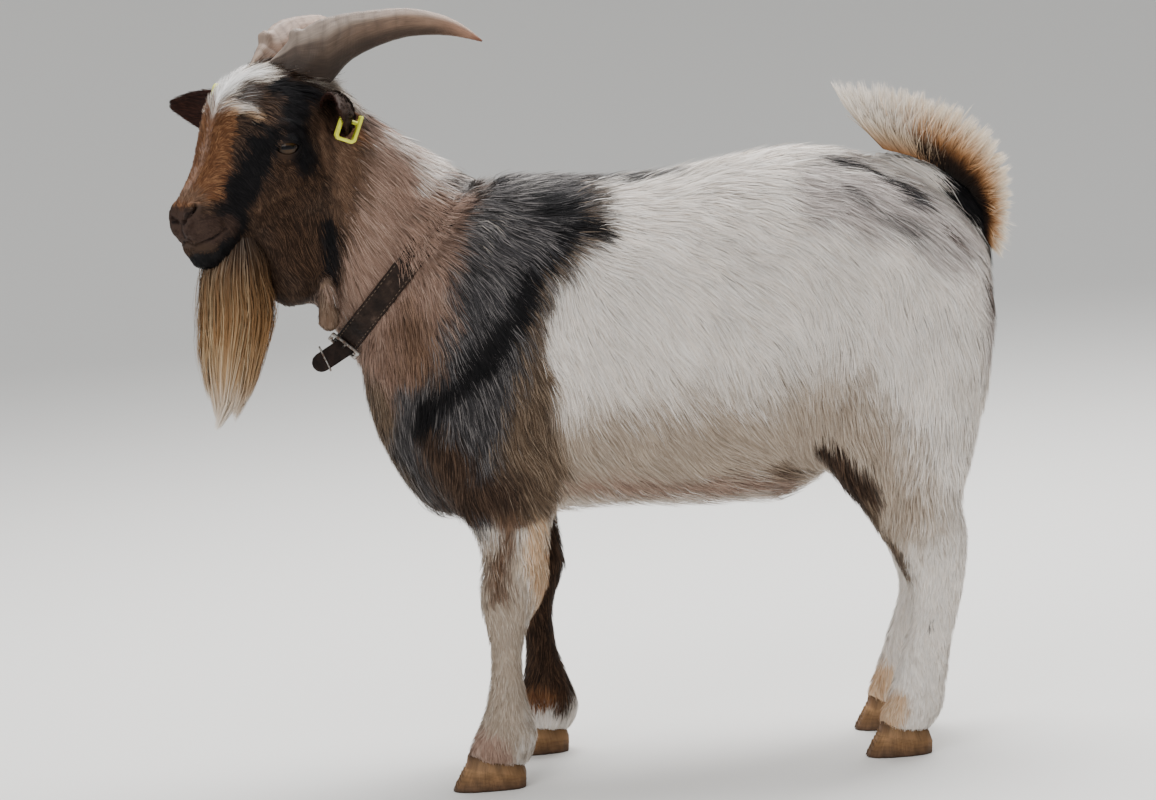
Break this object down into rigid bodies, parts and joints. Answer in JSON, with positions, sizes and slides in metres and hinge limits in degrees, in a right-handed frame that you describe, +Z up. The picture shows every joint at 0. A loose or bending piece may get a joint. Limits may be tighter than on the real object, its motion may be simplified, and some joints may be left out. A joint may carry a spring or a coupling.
{
  "type": "pygmy goat buck",
  "caption": "Life-size still model of a standing pygmy billy goat with swept-back horns, a long beard, an upcurled tail, a leather collar and blank ear tags.",
  "frame": {"origin": "middle of the whole animal's box, on the floor between the hooves", "axes": "+X from nose to tail along the body, +Y towards the goat's right side, +Z up"},
  "size_m": [0.769, 0.3138, 0.7108],
  "materials": {
    "coat": "dense coat of fine overlapping hair, cream with grey-black, brown and tan markings",
    "beard_hair": "long straight silky hair, golden brown with cream streaks",
    "tail_hair": "long coarse hair, black at the root, tan and cream towards the tips",
    "ear_hair": "very short dark brown hair over thin skin",
    "horn": "ridged keratin, grey-brown with a pinkish tan tip, worn satin",
    "hoof_horn": "dull tan-brown keratin with growth rings",
    "eye": "wet amber-brown eye with a level dark pupil",
    "collar_leather": "worn dark brown leather strap",
    "collar_metal": "dull tarnished steel",
    "tag_plastic": "yellow moulded polyurethane, bare of print"
  },
  "bodies": {
    "root": {"beard": "beard_hair", "collar_buckle": "collar_metal", "collar_strap": "collar_leather", "collar_tongue": "collar_leather", "ear_left": "ear_hair", "ear_right": "ear_hair", "eye_left": "eye", "eye_right": "eye", "foreleg_left_lower": "coat", "foreleg_left_upper": "coat", "foreleg_right_lower": "coat", "foreleg_right_upper": "coat", "head": "coat", "hindleg_left_lower": "coat", "hindleg_left_upper": "coat", "hindleg_right_lower": "coat", "hindleg_right_upper": "coat", "hoof_fore_left_inner": "hoof_horn", "hoof_fore_left_outer": "hoof_horn", "hoof_fore_right_inner": "hoof_horn", "hoof_fore_right_outer": "hoof_horn", "hoof_hind_left_inner": "hoof_horn", "hoof_hind_left_outer": "hoof_horn", "hoof_hind_right_inner": "hoof_horn", "hoof_hind_right_outer": "hoof_horn", "horn_left": "horn", "horn_right": "horn", "neck": "coat", "tag_left": "tag_plastic", "tag_right": "tag_plastic", "tail": "tail_hair", "trunk": "coat", "wattle_left": "coat", "wattle_right": "coat"}
  },
  "joints": []
}
